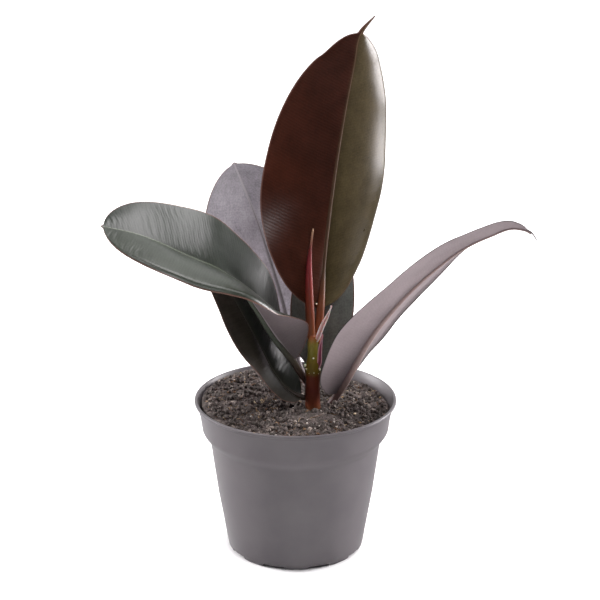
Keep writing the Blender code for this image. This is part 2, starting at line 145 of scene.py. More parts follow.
SOFT_BOXES = [  # name, place in metres, width and height in metres, watts
    ("front_box", (0.4, -0.9, 1.36), (0.5, 0.55), 8.0),
    ("left_box", (-1.5, 0.35, 0.7), (0.6, 1.2), 43.0),
    ("right_box", (1.45, 0.5, 0.4), (0.6, 1.2), 54.0),
    ("over_box", (-0.1, -0.15, 1.6), (0.5, 0.5), 5.0),
    ("top_box", (0.55, 0.62, 1.4), (0.7, 0.7), 11.0),
    ("low_card", (0.62, 0.2, 0.1), (0.16, 0.16), 0.12),
]
LAMP_TINT = (1.0, 0.965, 0.985)
for name, place, (width, height), watts in SOFT_BOXES:
    box_light = bpy.data.lights.new(name, "AREA")
    box_light.shape = "RECTANGLE"
    box_light.size = width
    box_light.size_y = height
    box_light.energy = watts
    box_light.color = LAMP_TINT
    lamp = bpy.data.objects.new(name, box_light)
    lamp.location = place
    lamp.rotation_euler = (AIM - Vector(place)).to_track_quat("-Z", "Y").to_euler()
    bpy.context.scene.collection.objects.link(lamp)

# A Mix node's colour sockets share their names with others, so they go by number: two inputs and one output.
MIX_FIRST = 6
MIX_SECOND = 7
MIX_RESULT = 2
WALL_SIDE = (-0.3, 0.95, 0.0)
WALL_EDGE = 0.35  # share of the way round to the wall's middle where the room begins to brighten
WALL_FULL = 0.85
ROOM_STRENGTH = 1.2

room = bpy.data.worlds.new("room")
bpy.context.scene.world = room
room.use_nodes = True
room.node_tree.nodes.clear()
tree = room.node_tree
way = add_node(tree, "ShaderNodeTexCoord")
behind = add_node(
    tree, "ShaderNodeVectorMath", {0: way.outputs["Generated"], 1: WALL_SIDE}, operation="DOT_PRODUCT",
)
wall = add_node(
    tree, "ShaderNodeMapRange",
    {"Value": behind.outputs["Value"], "From Min": WALL_EDGE, "From Max": WALL_FULL},
)
glow = add_node(
    tree, "ShaderNodeMix", {"Factor": wall.outputs[0], MIX_FIRST: "3c3c3e", MIX_SECOND: "ffffff"},
    data_type="RGBA",
)
sky = add_node(
    tree, "ShaderNodeBackground", {"Color": glow.outputs[MIX_RESULT], "Strength": ROOM_STRENGTH},
)
tree.links.new(sky.outputs[0], add_node(tree, "ShaderNodeOutputWorld").inputs["Surface"])

# ---------------------------------------------------------------------------------------------------------
# Nursery pot
# A thin pot injection-moulded in grey polypropylene: a rolled lip, a slightly tapered collar, a step and a
# body that narrows to a foot ring. The ring has nine notches, so water runs out of the drain holes beside the
# raised centre pad. Nothing is fixed to it.
RIM_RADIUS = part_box("pot")[1].x / MM
POT_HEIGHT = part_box("pot")[1].z / MM
WALL = 1.2
LIP_HEIGHT = 1.6
COLLAR_RADIUS = RIM_RADIUS - 2.3
COLLAR_FOOT = POT_HEIGHT - 18.0
COLLAR_TAPER = 2.0
STEP_FOOT = COLLAR_FOOT - 8.5
STEP_DEPTH = 4.9
BODY_MIDDLE = (46.5, 36.0)  # radius and height
FOOT_RADIUS = 39.5
FOOT_ROUNDING = 1.6
FOOT_RING = 2.2
FLOOR_LIFT = 2.6
FLOOR = 1.4
PAD_RADIUS = 22.0
PAD_SLOPE = 3.0
NOTCHES = 9
FIRST_NOTCH = -109.0
NOTCH_ANGLE = 20.0
NOTCH_HEIGHT = 2.2
NOTCH_REACH = 8.0  # the cutter is longer than the ring is thick
DRAIN_HOLE_RADIUS = 4.0
DRAIN_CIRCLE = (PAD_RADIUS + PAD_SLOPE + FOOT_RADIUS - FOOT_RING) / 2
POT_STEPS = 192


def eased(start, end, steps):
    """Points between two (radius, height) points along a soft S, without the first."""
    points = []
    for i in range(1, steps + 1):
        t = i / steps
        ease = t * t * (3 - 2 * t)
        points.append((start[0] + (end[0] - start[0]) * ease, start[1] + (end[1] - start[1]) * t))
    return points


def spun(profile, steps):
    """Spin a profile of (radius, height) in mm about the Z axis."""
    shape = bmesh.new()
    spots = [shape.verts.new((radius * MM, 0, height * MM)) for radius, height in profile]
    edges = [shape.edges.new(pair) for pair in zip(spots, spots[1:])]
    bmesh.ops.spin(
        shape, geom=spots + edges, cent=(0, 0, 0), axis=(0, 0, 1), dvec=(0, 0, 0),
        angle=2 * math.pi, steps=steps, use_merge=True,
    )
    bmesh.ops.remove_doubles(shape, verts=shape.verts, dist=1e-6)
    bmesh.ops.recalc_face_normals(shape, faces=shape.faces)
    return shape


def add_piece(name, shape, material, nodes=()):
    """Make a piece of the plant from a bmesh, hang it on the root body and hide the CAD parts it replaces."""
    mesh = bpy.data.meshes.new(name)
    shape.to_mesh(mesh)
    shape.free()
    mesh.materials.append(material)
    mesh.shade_smooth()
    piece = bpy.data.objects.new(name, mesh)
    bpy.context.scene.collection.objects.link(piece)
    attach(piece, "root")
    if nodes:
        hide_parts(*nodes)
    return piece


def settle(piece, sharp=35.0):
    """Turn a piece's modifiers into its mesh, and keep the edges above an angle crisp."""
    graph = bpy.context.evaluated_depsgraph_get()
    done = bpy.data.meshes.new_from_object(piece.evaluated_get(graph))
    piece.modifiers.clear()
    piece.data = done
    done.shade_smooth()
    done.set_sharp_from_angle(angle=math.radians(sharp))


# Moulded polypropylene: an even grey with a satin skin, brighter where it turns away, and faint flow marks.
moulded_pp, tree, output = new_material("moulded_grey_polypropylene")
place = add_node(tree, "ShaderNodeTexCoord")
FLOW_MARK_SIZE = 24.0
SKIN_GRAIN = 0.5  # coarser than the mould's own spark texture, so that it shows
flow = add_node(
    tree, "ShaderNodeTexNoise",
    {"Vector": place.outputs["Object"], "Scale": 1 / (FLOW_MARK_SIZE * MM), "Detail": 4.0, "Roughness": 0.6},
)
grain = add_node(
    tree, "ShaderNodeTexNoise",
    {"Vector": place.outputs["Object"], "Scale": 1 / (SKIN_GRAIN * MM), "Detail": 2.0},
)
tint = add_node(
    tree, "ShaderNodeValToRGB", {"Fac": flow.outputs["Fac"]}, stops=[(0.3, "5b575a"), (0.7, "625e60")],
)
shine = add_node(
    tree, "ShaderNodeMapRange", {"Value": flow.outputs["Fac"], "To Min": 0.36, "To Max": 0.5},
)
skin = add_node(
    tree, "ShaderNodeBump", {"Height": grain.outputs["Fac"], "Strength": 0.15, "Distance": 0.05 * MM},
)
plastic = add_node(
    tree, "ShaderNodeBsdfPrincipled",
    {
        "Base Color": tint.outputs["Color"], "Roughness": shine.outputs[0], "IOR": 1.49,
        "Normal": skin.outputs[0],
    },
)
tree.links.new(plastic.outputs[0], output.inputs["Surface"])

body_top = COLLAR_RADIUS - COLLAR_TAPER - STEP_DEPTH
lip_foot = POT_HEIGHT - LIP_HEIGHT
outer_wall = (
    [(RIM_RADIUS, lip_foot + 0.3), (RIM_RADIUS - 0.3, lip_foot), (COLLAR_RADIUS + 0.9, lip_foot - 0.4)]
    + eased((COLLAR_RADIUS + 0.9, lip_foot - 0.4), (COLLAR_RADIUS, lip_foot - 4.0), 4)
    + [(COLLAR_RADIUS - COLLAR_TAPER * 0.5, (lip_foot + COLLAR_FOOT) / 2)]
    + [(COLLAR_RADIUS - COLLAR_TAPER, COLLAR_FOOT + 0.8)]
    + eased((COLLAR_RADIUS - COLLAR_TAPER, COLLAR_FOOT + 0.8), (body_top, STEP_FOOT), 10)
    + [(body_top - 0.6, STEP_FOOT - 4.0), BODY_MIDDLE]
    + [(FOOT_RADIUS + FOOT_ROUNDING, FOOT_ROUNDING * 2.5), (FOOT_RADIUS + FOOT_ROUNDING * 0.7, FOOT_ROUNDING)]
    + [(FOOT_RADIUS + 0.3, 0.3), (FOOT_RADIUS - 0.2, 0.0)]
)
underside = [
    (FOOT_RADIUS - FOOT_RING, 0.0),
    (FOOT_RADIUS - FOOT_RING, FLOOR_LIFT),
    (PAD_RADIUS + PAD_SLOPE, FLOOR_LIFT),
    (PAD_RADIUS, 0.0),
    (0.0, 0.0),
]
floor_top = FLOOR_LIFT + FLOOR
inside = [(0.0, FLOOR), (PAD_RADIUS, FLOOR), (PAD_RADIUS + PAD_SLOPE, floor_top)]
inside += [(FOOT_RADIUS - 0.6, floor_top), (body_top - WALL, STEP_FOOT)]
inside += eased((body_top - WALL, STEP_FOOT), (COLLAR_RADIUS - COLLAR_TAPER - WALL, COLLAR_FOOT), 8)
inside += [(COLLAR_RADIUS - WALL, lip_foot - 3.0), (RIM_RADIUS - 1.9, POT_HEIGHT - 0.5)]
lip = [(RIM_RADIUS - 1.6, POT_HEIGHT - 0.1), (RIM_RADIUS - 1.1, POT_HEIGHT), (RIM_RADIUS - 0.6, POT_HEIGHT)]
lip += [(RIM_RADIUS - 0.15, POT_HEIGHT - 0.15), (RIM_RADIUS, POT_HEIGHT - 0.55)]
pot_form = spun(inside + lip + outer_wall + underside, POT_STEPS)
pot = add_piece("pot_shell", pot_form, moulded_pp, ["pot"])

cutters = bmesh.new()
notch_width = 2 * FOOT_RADIUS * math.sin(math.radians(NOTCH_ANGLE / 2))
for i in range(NOTCHES):
    turn = Matrix.Rotation(math.radians(FIRST_NOTCH + 360 * i / NOTCHES), 4, "Z")
    block = bmesh.ops.create_cube(cutters, size=1.0)["verts"]
    bmesh.ops.scale(cutters, vec=Vector((NOTCH_REACH, notch_width, NOTCH_HEIGHT * 2)) * MM, verts=block)
    bmesh.ops.translate(cutters, vec=Vector((FOOT_RADIUS, 0, 0)) * MM, verts=block)
    bmesh.ops.transform(cutters, matrix=turn, verts=block)
    hole = bmesh.ops.create_cone(
        cutters, cap_ends=True, segments=32, depth=FLOOR * 4 * MM,
        radius1=DRAIN_HOLE_RADIUS * MM, radius2=DRAIN_HOLE_RADIUS * MM,
    )["verts"]
    bmesh.ops.translate(cutters, vec=Vector((DRAIN_CIRCLE, 0, FLOOR_LIFT)) * MM, verts=hole)
    bmesh.ops.transform(cutters, matrix=turn, verts=hole)
cutter = bpy.data.objects.new("pot_cutter", bpy.data.meshes.new("pot_cutter"))
cutters.to_mesh(cutter.data)
cutters.free()
bpy.context.scene.collection.objects.link(cutter)
cut = pot.modifiers.new("notches_and_holes", "BOOLEAN")
cut.operation = "DIFFERENCE"
cut.solver = "EXACT"
cut.object = cutter
settle(pot)
bpy.data.objects.remove(cutter)

# ---------------------------------------------------------------------------------------------------------
# Peat
# The plant stands in damp peat with bark fibre, filled to a few millimetres below the rim. The bed is one
# solid, banked up at the back left and pressed into a lump in front. Loose crumbs, bark chips and threads and
# a little perlite lie pressed into its top.
SOIL_LINE = POT_HEIGHT - 5.0
SOIL_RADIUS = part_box("soil")[1].x / MM
STEM_PLACE = Vector((10.4, -1.0, 0.0))
MOUND_PLACE = Vector((13.0, -17.0, 0.0))
MOUND_RADIUS = 12.0
MOUND_HEIGHT = 1.6
BANK_RISE = 4.6
BANK_RUN = 38.0
BANK_TURN = 0.35
CLUMP_SIZE = 7.0
CLUMP_HEIGHT = 1.5
CRUMB_SIZE = 1.9
CRUMB_HEIGHT = 1.1
BED_RINGS = 76
BED_STEPS = 252
GRAINS_IN_A_HEAP = 25
rng = random.Random(5)
noise.seed_set(5)  # without it noise_vector differs from run to run


def mound(x, y):
    """1 on the smooth lump of pressed peat in front of the stem, falling to 0 round it."""
    reach = math.hypot((x - MOUND_PLACE.x) / 1.5, y - MOUND_PLACE.y) / MOUND_RADIUS
    return max(0.0, 1 - reach * reach) ** 2 if reach < 1 else 0.0


def soil_top(x, y):
    """Height of the peat at a place, in mm."""
    reach = min(1.0, math.hypot(x, y) / SOIL_RADIUS)
    clumps = noise.fractal(Vector((x, y, 0)) / CLUMP_SIZE, 1.0, 2.2, 3)
    crumbs = noise.fractal(Vector((x, y, 9)) / CRUMB_SIZE, 0.8, 2.1, 2)
    smooth = mound(x, y)
    rough = (CLUMP_HEIGHT * clumps + CRUMB_HEIGHT * crumbs) * (1 - 0.85 * smooth)
    left = min(1.0, max(0.0, (BANK_TURN * y - x) / BANK_RUN))
    bank = BANK_RISE * left * left * (3 - 2 * left) + (y - max(0.0, x)) / SOIL_RADIUS
    level = SOIL_LINE - 0.4 + bank - 0.4 * reach ** 4
    return level + MOUND_HEIGHT * smooth + rough * (1 - 0.5 * reach ** 8)


# Damp peat: nearly black in its gaps, grey-brown on its crumbs, with a slight wet glint.
TINTED_GRAIN = 2.2
DUST_SIZE = 0.7
PATCH_SIZE = 14.0
damp_peat, tree, output = new_material("damp_peat")
place = add_node(tree, "ShaderNodeTexCoord")
cells = add_node(
    tree, "ShaderNodeTexVoronoi", {"Vector": place.outputs["Object"], "Scale": 1 / (TINTED_GRAIN * MM)},
)
dust = add_node(
    tree, "ShaderNodeTexNoise",
    {"Vector": place.outputs["Object"], "Scale": 1 / (DUST_SIZE * MM), "Detail": 5.0, "Roughness": 0.7},
)
patch = add_node(
    tree, "ShaderNodeTexNoise",
    {"Vector": place.outputs["Object"], "Scale": 1 / (PATCH_SIZE * MM), "Detail": 2.0},
)
pick = add_node(tree, "ShaderNodeSeparateColor", {"Color": cells.outputs["Color"]})
crumb_tint = add_node(
    tree, "ShaderNodeValToRGB", {"Fac": pick.outputs[0]},
    stops=[(0.0, "110c0a"), (1.0, "c0b0a2"), (0.42, "2b211b"), (0.77, "4e4243"), (0.93, "84766f")],
)
dust_tint = add_node(
    tree, "ShaderNodeValToRGB", {"Fac": dust.outputs["Fac"]}, stops=[(0.4, "0e0908"), (0.68, "988a80")],
)
mixed = add_node(
    tree, "ShaderNodeMix",
    {"Factor": 0.5, MIX_FIRST: crumb_tint.outputs[0], MIX_SECOND: dust_tint.outputs[0]}, data_type="RGBA",
)
worn = add_node(tree, "ShaderNodeMapRange", {"Value": patch.outputs["Fac"], "To Min": 0.75, "To Max": 1.2})
toned = add_node(
    tree, "ShaderNodeHueSaturation",
    {"Color": mixed.outputs[MIX_RESULT], "Value": worn.outputs[0], "Saturation": 0.9},
)
rough_top = add_node(
    tree, "ShaderNodeBump", {"Height": dust.outputs["Fac"], "Strength": 0.9, "Distance": 0.5 * MM},
)
peat = add_node(
    tree, "ShaderNodeBsdfPrincipled",
    {"Base Color": toned.outputs[0], "Roughness": 0.72, "IOR": 1.4, "Normal": rough_top.outputs[0]},
)
tree.links.new(peat.outputs[0], output.inputs["Surface"])

side_foot = FLOOR + FLOOR_LIFT + 0.3
bed_profile = [(SOIL_RADIUS * i / BED_RINGS, SOIL_LINE) for i in range(BED_RINGS)]
bed_profile += [(SOIL_RADIUS, SOIL_LINE - 1.9), (COLLAR_RADIUS - COLLAR_TAPER - WALL - 0.4, COLLAR_FOOT)]
bed_profile += [(body_top - WALL - 0.4, STEP_FOOT), (FOOT_RADIUS - 0.4, side_foot + 2)]
bed_profile += [(FOOT_RADIUS - 1.0, side_foot), (PAD_RADIUS + PAD_SLOPE, side_foot)]
bed_profile += [(PAD_RADIUS, FLOOR + 0.3), (0.0, FLOOR + 0.3)]
bed = spun(bed_profile, BED_STEPS)
for spot in bed.verts:
    if spot.co.z > (SOIL_LINE - 2) * MM:
        sink = -1.2 if spot.co.z < (SOIL_LINE - 1) * MM else 0.0
        spot.co.z = (soil_top(spot.co.x / MM, spot.co.y / MM) + sink) * MM
add_piece("peat_bed", bed, damp_peat, ["soil"])


def on_soil(reach):
    """A random place on the peat's top that is clear of the stem, in mm."""
    while True:
        radius = (SOIL_RADIUS - 1.5) * reach * math.sqrt(rng.random())
        angle = rng.uniform(0, 2 * math.pi)
        x, y = radius * math.cos(angle), radius * math.sin(angle)
        if math.hypot(x - STEM_PLACE.x, y - STEM_PLACE.y) > 6.5 and rng.random() > mound(x, y) * 1.3:
            return x, y


def strewn(count, subdivisions, sizes, flatness, tilt, bury):
    """Grains strewn over the peat, made in small heaps, because an operator slows down on a big mesh."""
    grains = bmesh.new()
    for _ in range(count // GRAINS_IN_A_HEAP):
        heap = bmesh.new()
        for _ in range(GRAINS_IN_A_HEAP):
            x, y = on_soil(0.98)
            size = rng.uniform(*sizes)
            scale = Vector((size * rng.uniform(1.0, 1.7), size, size * flatness))
            spin = Euler((rng.uniform(-tilt, tilt), rng.uniform(-tilt, tilt), rng.uniform(0, math.pi)))
            where = Matrix.Translation(Vector((x, y, soil_top(x, y) + bury * size)) * MM)
            turned = where @ spin.to_matrix().to_4x4() @ Matrix.Diagonal(scale.to_4d())
            bmesh.ops.create_icosphere(heap, subdivisions=subdivisions, radius=MM, matrix=turned)
        done = bpy.data.meshes.new("heap")
        heap.to_mesh(done)
        heap.free()
        grains.from_mesh(done)
        bpy.data.meshes.remove(done)
    for spot in grains.verts:
        spot.co += noise.noise_vector(spot.co / (1.1 * MM)) * 0.28 * MM
    return grains


crumbs = strewn(1400, 2, (0.4, 1.6), 0.75, 1.5, 0.25)
add_piece("peat_crumbs", crumbs, damp_peat)

# Shredded bark: straw to red-brown threads and chips, dry and dull, so they stand out from the wet peat.
CHIP_TINT_SIZE = 5.0
THREAD_RADIUS = 0.16
THREADS = 170
THREAD_BENDS = 5
bark_fibre, tree, output = new_material("shredded_bark_fibre")
place = add_node(tree, "ShaderNodeTexCoord")
piece_by_piece = add_node(
    tree, "ShaderNodeTexVoronoi", {"Vector": place.outputs["Object"], "Scale": 1 / (CHIP_TINT_SIZE * MM)},
)
pick = add_node(tree, "ShaderNodeSeparateColor", {"Color": piece_by_piece.outputs["Color"]})
straw = add_node(
    tree, "ShaderNodeValToRGB", {"Fac": pick.outputs[1]},
    stops=[(0.0, "4a3226"), (1.0, "c9b596"), (0.4, "6e5138"), (0.75, "8f7656")],
)
fibre = add_node(tree, "ShaderNodeBsdfPrincipled", {"Base Color": straw.outputs[0], "Roughness": 0.8})
tree.links.new(fibre.outputs[0], output.inputs["Surface"])

threads = bpy.data.curves.new("bark_fibres", "CURVE")
threads.dimensions = "3D"
threads.bevel_depth = THREAD_RADIUS * MM
threads.bevel_resolution = 1
threads.use_fill_caps = True
for _ in range(THREADS):
    x, y = on_soil(0.96)
    heading = rng.uniform(0, 2 * math.pi)
    step = rng.uniform(0.8, 1.9)
    lift = rng.uniform(0.1, 0.5)
    strand = threads.splines.new("POLY")
    strand.points.add(THREAD_BENDS)
    for place_on, spot in enumerate(strand.points):
        z = soil_top(x, y) + 0.15 + lift * math.sin(math.pi * place_on / THREAD_BENDS)
        spot.co = (x * MM, y * MM, z * MM, 1)
        spot.radius = rng.uniform(0.5, 1.5)
        heading += rng.uniform(-0.5, 0.5)
        x += step * math.cos(heading)
        y += step * math.sin(heading)
        if math.hypot(x, y) > SOIL_RADIUS - 1.5:
            x, y = x * 0.95, y * 0.95
blank = bpy.data.objects.new("bark_fibres_curve", threads)
bpy.context.scene.collection.objects.link(blank)
chips_and_threads = strewn(150, 1, (0.5, 1.1), 0.35, 0.5, 0.5)
graph = bpy.context.evaluated_depsgraph_get()
chips_and_threads.from_mesh(bpy.data.meshes.new_from_object(blank.evaluated_get(graph)))
bpy.data.objects.remove(blank)
bmesh.ops.remove_doubles(chips_and_threads, verts=chips_and_threads.verts, dist=1e-6)
add_piece("bark_fibres", chips_and_threads, bark_fibre)

# Perlite: popped volcanic glass, white and matte, in grains of a millimetre or less.
perlite, tree, output = new_material("perlite")
chalk = add_node(tree, "ShaderNodeBsdfPrincipled", {"Base Color": "d8cfc6", "Roughness": 0.85})
tree.links.new(chalk.outputs[0], output.inputs["Surface"])
grains = strewn(75, 1, (0.22, 0.6), 0.8, 0.5, 0.9)
add_piece("perlite_grains", grains, perlite)

# ---------------------------------------------------------------------------------------------------------
# Stem
# A short living stem from inside the peat to the growing tip: red-brown young bark below, a swollen olive
# node where the last leaf broke off, then a thinner olive neck. It grew as one piece.
STEM_LINE = [  # x, y, height above the soil line, radius
    (10.4, -1.0, -36.0, 4.14),
    (10.4, -1.0, 0.0, 4.6),
    (10.1, -1.0, 12.0, 4.32),
    (10.2, -0.7, 18.0, 4.42),
    (10.3, -0.3, 22.5, 4.7),
    (10.3, 0.0, 27.0, 4.04),
    (10.2, 0.5, 31.5, 3.2),
    (10.3, 1.4, 38.0, 3.2),
    (10.8, 2.6, 43.5, 3.2),
]
STEM_MIDDLE_X = 10.3
BARK_LUMPS = ((4.0, 0.12), (1.6, 0.05))  # size across and height


def smooth_line(points, stations):
    """A smooth curve through the points, read at stations given as fractions of its length."""
    points = np.array(points, float)
    reach = np.concatenate([[0], np.cumsum(np.linalg.norm(np.diff(points, axis=0), axis=1))])
    reach /= reach[-1]
    steps = np.diff(points, axis=0) / np.diff(reach)[:, None]
    before = np.diff(reach)[:-1, None]
    after = np.diff(reach)[1:, None]
    inner = (steps[:-1] * after + steps[1:] * before) / (before + after)
    slopes = np.vstack([steps[:1], inner, steps[-1:]])
    span = np.clip(np.searchsorted(reach, stations, side="right") - 1, 0, len(points) - 2)
    width = np.diff(reach)[span][:, None]
    t = (stations[:, None] - reach[span][:, None]) / width
    return (
        (2 * t ** 3 - 3 * t ** 2 + 1) * points[span]
        + (t ** 3 - 2 * t ** 2 + t) * width * slopes[span]
        + (3 * t ** 2 - 2 * t ** 3) * points[span + 1]
        + (t ** 3 - t ** 2) * width * slopes[span + 1]
    )


def stalk_shape(points, radii, sides):
    """A round stalk through the points (x, y, height above the soil line), closed at both ends."""
    shape = bmesh.new()
    centres = [Vector((x, y, height + SOIL_LINE)) for x, y, height in points]
    tangents = [(b - a).normalized() for a, b in zip(centres[:1] + centres, centres[1:] + centres[-1:])]
    tangents[0] = (centres[1] - centres[0]).normalized()
    across = tangents[0].orthogonal()
    rings = []
    for centre, along, radius in zip(centres, tangents, radii):
        across = (across - across.dot(along) * along).normalized()
        basis = Matrix((across, along.cross(across), along)).transposed().to_4x4()
        place = Matrix.Translation(centre * MM) @ basis
        ring = bmesh.ops.create_circle(shape, segments=sides, radius=radius * MM, matrix=place)["verts"]
        rings.append(ring)
    loops = [{edge for spot in ring for edge in spot.link_edges} for ring in rings]
    for low, high in zip(loops, loops[1:]):
        bmesh.ops.bridge_loops(shape, edges=list(low | high))
    for ring in (rings[0], rings[-1]):
        bmesh.ops.contextual_create(shape, geom=ring)
    bmesh.ops.recalc_face_normals(shape, faces=shape.faces)
    return shape


# Young bark: a thin skin, green where the light reached it and red-brown below, slightly waxy, with fine
# lengthwise wrinkles.
WRINKLE_SPACING = 1.1
young_bark, tree, output = new_material("young_bark")
place = add_node(tree, "ShaderNodeTexCoord")
spot = add_node(tree, "ShaderNodeSeparateXYZ", {"Vector": place.outputs["Object"]})
wrinkle_way = add_node(
    tree, "ShaderNodeMapping", {"Vector": place.outputs["Object"], "Scale": (1.0, 1.0, 0.18)},
)
wrinkles = add_node(
    tree, "ShaderNodeTexNoise",
    {"Vector": wrinkle_way.outputs[0], "Scale": 1 / (WRINKLE_SPACING * MM), "Detail": 4.0, "Roughness": 0.65},
)
blur = add_node(
    tree, "ShaderNodeMath", {0: wrinkles.outputs["Fac"], 1: 3.0 * MM, 2: spot.outputs["Z"]},
    operation="MULTIPLY_ADD",
)
height = add_node(
    tree, "ShaderNodeMapRange",
    {"Value": blur.outputs[0], "From Min": SOIL_LINE * MM, "From Max": (SOIL_LINE + 45.0) * MM},
)
skin_tint = add_node(
    tree, "ShaderNodeValToRGB", {"Fac": height.outputs[0]},
    stops=[
        (0.0, "6a3f22"), (1.0, "8a4b2c"), (0.12, "6c301a"), (0.3, "632616"), (0.47, "5c2812"),
        (0.53, "5e4b10"), (0.66, "645414"), (0.78, "6a641e"), (0.9, "766828"),
    ],
)
streak = add_node(
    tree, "ShaderNodeMapRange", {"Value": wrinkles.outputs["Fac"], "To Min": 0.7, "To Max": 1.35},
)
toned = add_node(
    tree, "ShaderNodeHueSaturation", {"Color": skin_tint.outputs[0], "Value": streak.outputs[0]},
)
raised = add_node(
    tree, "ShaderNodeBump", {"Height": wrinkles.outputs["Fac"], "Strength": 0.5, "Distance": 0.25 * MM},
)
bark = add_node(
    tree, "ShaderNodeBsdfPrincipled",
    {"Base Color": toned.outputs[0], "Roughness": 0.42, "IOR": 1.42, "Normal": raised.outputs[0]},
)
tree.links.new(bark.outputs[0], output.inputs["Surface"])

stem_line = smooth_line(STEM_LINE, np.linspace(0, 1, 90))
stem = stalk_shape(stem_line[:, :3], stem_line[:, 3], 28)
for spot in stem.verts:
    wobble = sum(noise.noise(spot.co / (size * MM)) * lump for size, lump in BARK_LUMPS)
    spot.co += Vector((spot.co.x - STEM_MIDDLE_X * MM, spot.co.y, 0)).normalized() * wobble * MM
add_piece("stem_bark", stem, young_bark, ["stem"])

# Dried latex: drops of milky sap that beaded at the node and under the upright leaf, off-white and shiny.
dried_latex, tree, output = new_material("dried_latex")
drop = add_node(
    tree, "ShaderNodeBsdfPrincipled",
    {
        "Base Color": "e9dcc0", "Roughness": 0.25, "IOR": 1.5, "Subsurface Weight": 0.3,
        "Subsurface Scale": 0.5 * MM,
    },
)
tree.links.new(drop.outputs[0], output.inputs["Surface"])
DROPS = [  # x, y, z, radius
    (5.7, -1.6, 115.1, 0.85), (14.3, -2.3, 112.7, 0.75), (10.6, -4.6, 120.7, 0.5), (6.4, -3.4, 113.5, 0.5),
    (8.0, -4.6, 111.2, 0.22), (10.9, -5.2, 111.6, 0.3), (13.6, -3.6, 110.6, 0.3),
    (13.2, -0.2, 131.0, 0.55), (12.4, 1.0, 152.6, 0.5),
]
drops = bmesh.new()
for x, y, z, radius in DROPS:
    bmesh.ops.create_icosphere(
        drops, subdivisions=3, radius=radius * MM, matrix=Matrix.Translation(Vector((x, y, z)) * MM),
    )
add_piece("latex_drops", drops, dried_latex)

# ---------------------------------------------------------------------------------------------------------
# Bud sheath
# The rolled red scale that wraps the next leaf at the growing tip: smooth, thin-skinned and drawn out to a
# thread. It grows from the top of the stem, beside the upright leaf's stalk.
SHEATH_RADIUS = 2.65
SHEATH_LINE = [  # x, y, height above the soil line, radius
    (9.6, 2.2, 41.0, SHEATH_RADIUS * 0.9),
    (9.0, 3.0, 47.0, SHEATH_RADIUS),
    (8.3, 4.0, 61.0, SHEATH_RADIUS),
    (7.9, 5.0, 78.0, SHEATH_RADIUS * 0.8),
    (8.2, 5.5, 90.0, SHEATH_RADIUS * 0.52),
    (8.9, 6.0, 97.0, SHEATH_RADIUS * 0.3),
    (10.3, 6.5, 108.0, SHEATH_RADIUS * 0.15),
]

# Fresh scale tissue: orange-brown at its foot, wine red above and straw at its dry thread, with a soft shine.
SCALE_LINE_SPACING = 0.6
red_scale, tree, output = new_material("red_bud_scale")
place = add_node(tree, "ShaderNodeTexCoord")
spot = add_node(tree, "ShaderNodeSeparateXYZ", {"Vector": place.outputs["Object"]})
height = add_node(
    tree, "ShaderNodeMapRange",
    {"Value": spot.outputs["Z"], "From Min": (SOIL_LINE + 41.0) * MM, "From Max": (SOIL_LINE + 108.0) * MM},
)
scale_tint = add_node(
    tree, "ShaderNodeValToRGB", {"Fac": height.outputs[0]},
    stops=[
        (0.0, "6e3f20"), (1.0, "9a7a60"), (0.15, "74402a"), (0.35, "7a3626"), (0.55, "7e2c2c"),
        (0.7, "7c2b30"), (0.82, "6a2a2a"),
    ],
)
fine_way = add_node(
    tree, "ShaderNodeMapping", {"Vector": place.outputs["Object"], "Scale": (1.0, 1.0, 0.08)},
)
lines = add_node(
    tree, "ShaderNodeTexNoise",
    {"Vector": fine_way.outputs[0], "Scale": 1 / (SCALE_LINE_SPACING * MM), "Detail": 3.0},
)
streak = add_node(tree, "ShaderNodeMapRange", {"Value": lines.outputs["Fac"], "To Min": 0.8, "To Max": 1.25})
toned = add_node(
    tree, "ShaderNodeHueSaturation", {"Color": scale_tint.outputs[0], "Value": streak.outputs[0]},
)
raised = add_node(
    tree, "ShaderNodeBump", {"Height": lines.outputs["Fac"], "Strength": 0.25, "Distance": 0.1 * MM},
)
scale_skin = add_node(
    tree, "ShaderNodeBsdfPrincipled",
    {"Base Color": toned.outputs[0], "Roughness": 0.38, "IOR": 1.42, "Normal": raised.outputs[0]},
)
tree.links.new(scale_skin.outputs[0], output.inputs["Surface"])

sheath_line = smooth_line(SHEATH_LINE, np.linspace(0, 1, 80))
sheath = stalk_shape(sheath_line[:, :3], sheath_line[:, 3], 24)
add_piece("bud_sheath_skin", sheath, red_scale, ["bud_sheath"])

# ---------------------------------------------------------------------------------------------------------
# Leaves
# Six leathery leaves, each grown as one piece with its stalk and midrib: dark burgundy and green with a wax
# shine above, dull mauve-brown below. Fine veins run side by side from the midrib to a pale margin. The two
# rear leaves' pale grey upper sides are painted reflection and painted light, and the colour is painted
# darker towards the stalk as painted shade on every underside and on the left leaf.
BLADE_THICKNESS = 0.7
MIDRIB_TIP_RADIUS = 0.5
GROOVE_DEPTH = 0.5
GROOVE_WIDTH = 2.2
ROLLED_MARGIN = 0.12  # share of a half's width, at its edge, that rolls under
DRIP_TIP_WIDTH = 0.06  # share of the blade's half width
SLIMMEST = 0.5
VEIN_SPACING = 1.75
VEIN_SLANT = 0.3
RIPPLE_SPACING = 4.2  # the blade swells between every few veins, as a swell between each two wouldn't show
DRIFT_SIZE = 13.0
CALM_RUN = 5.0  # the swells fade out within this distance of the midrib and of the margin
THICK_FROM = 8.0  # the blade thins towards its margin from this distance
MIDRIB_REACH = 0.97
STALK_ROWS = 90
STALK_SIDES = 16
STALK_GRAIN = 2.0
FLAT = ((0, 0, 0), (0, 0, 0))
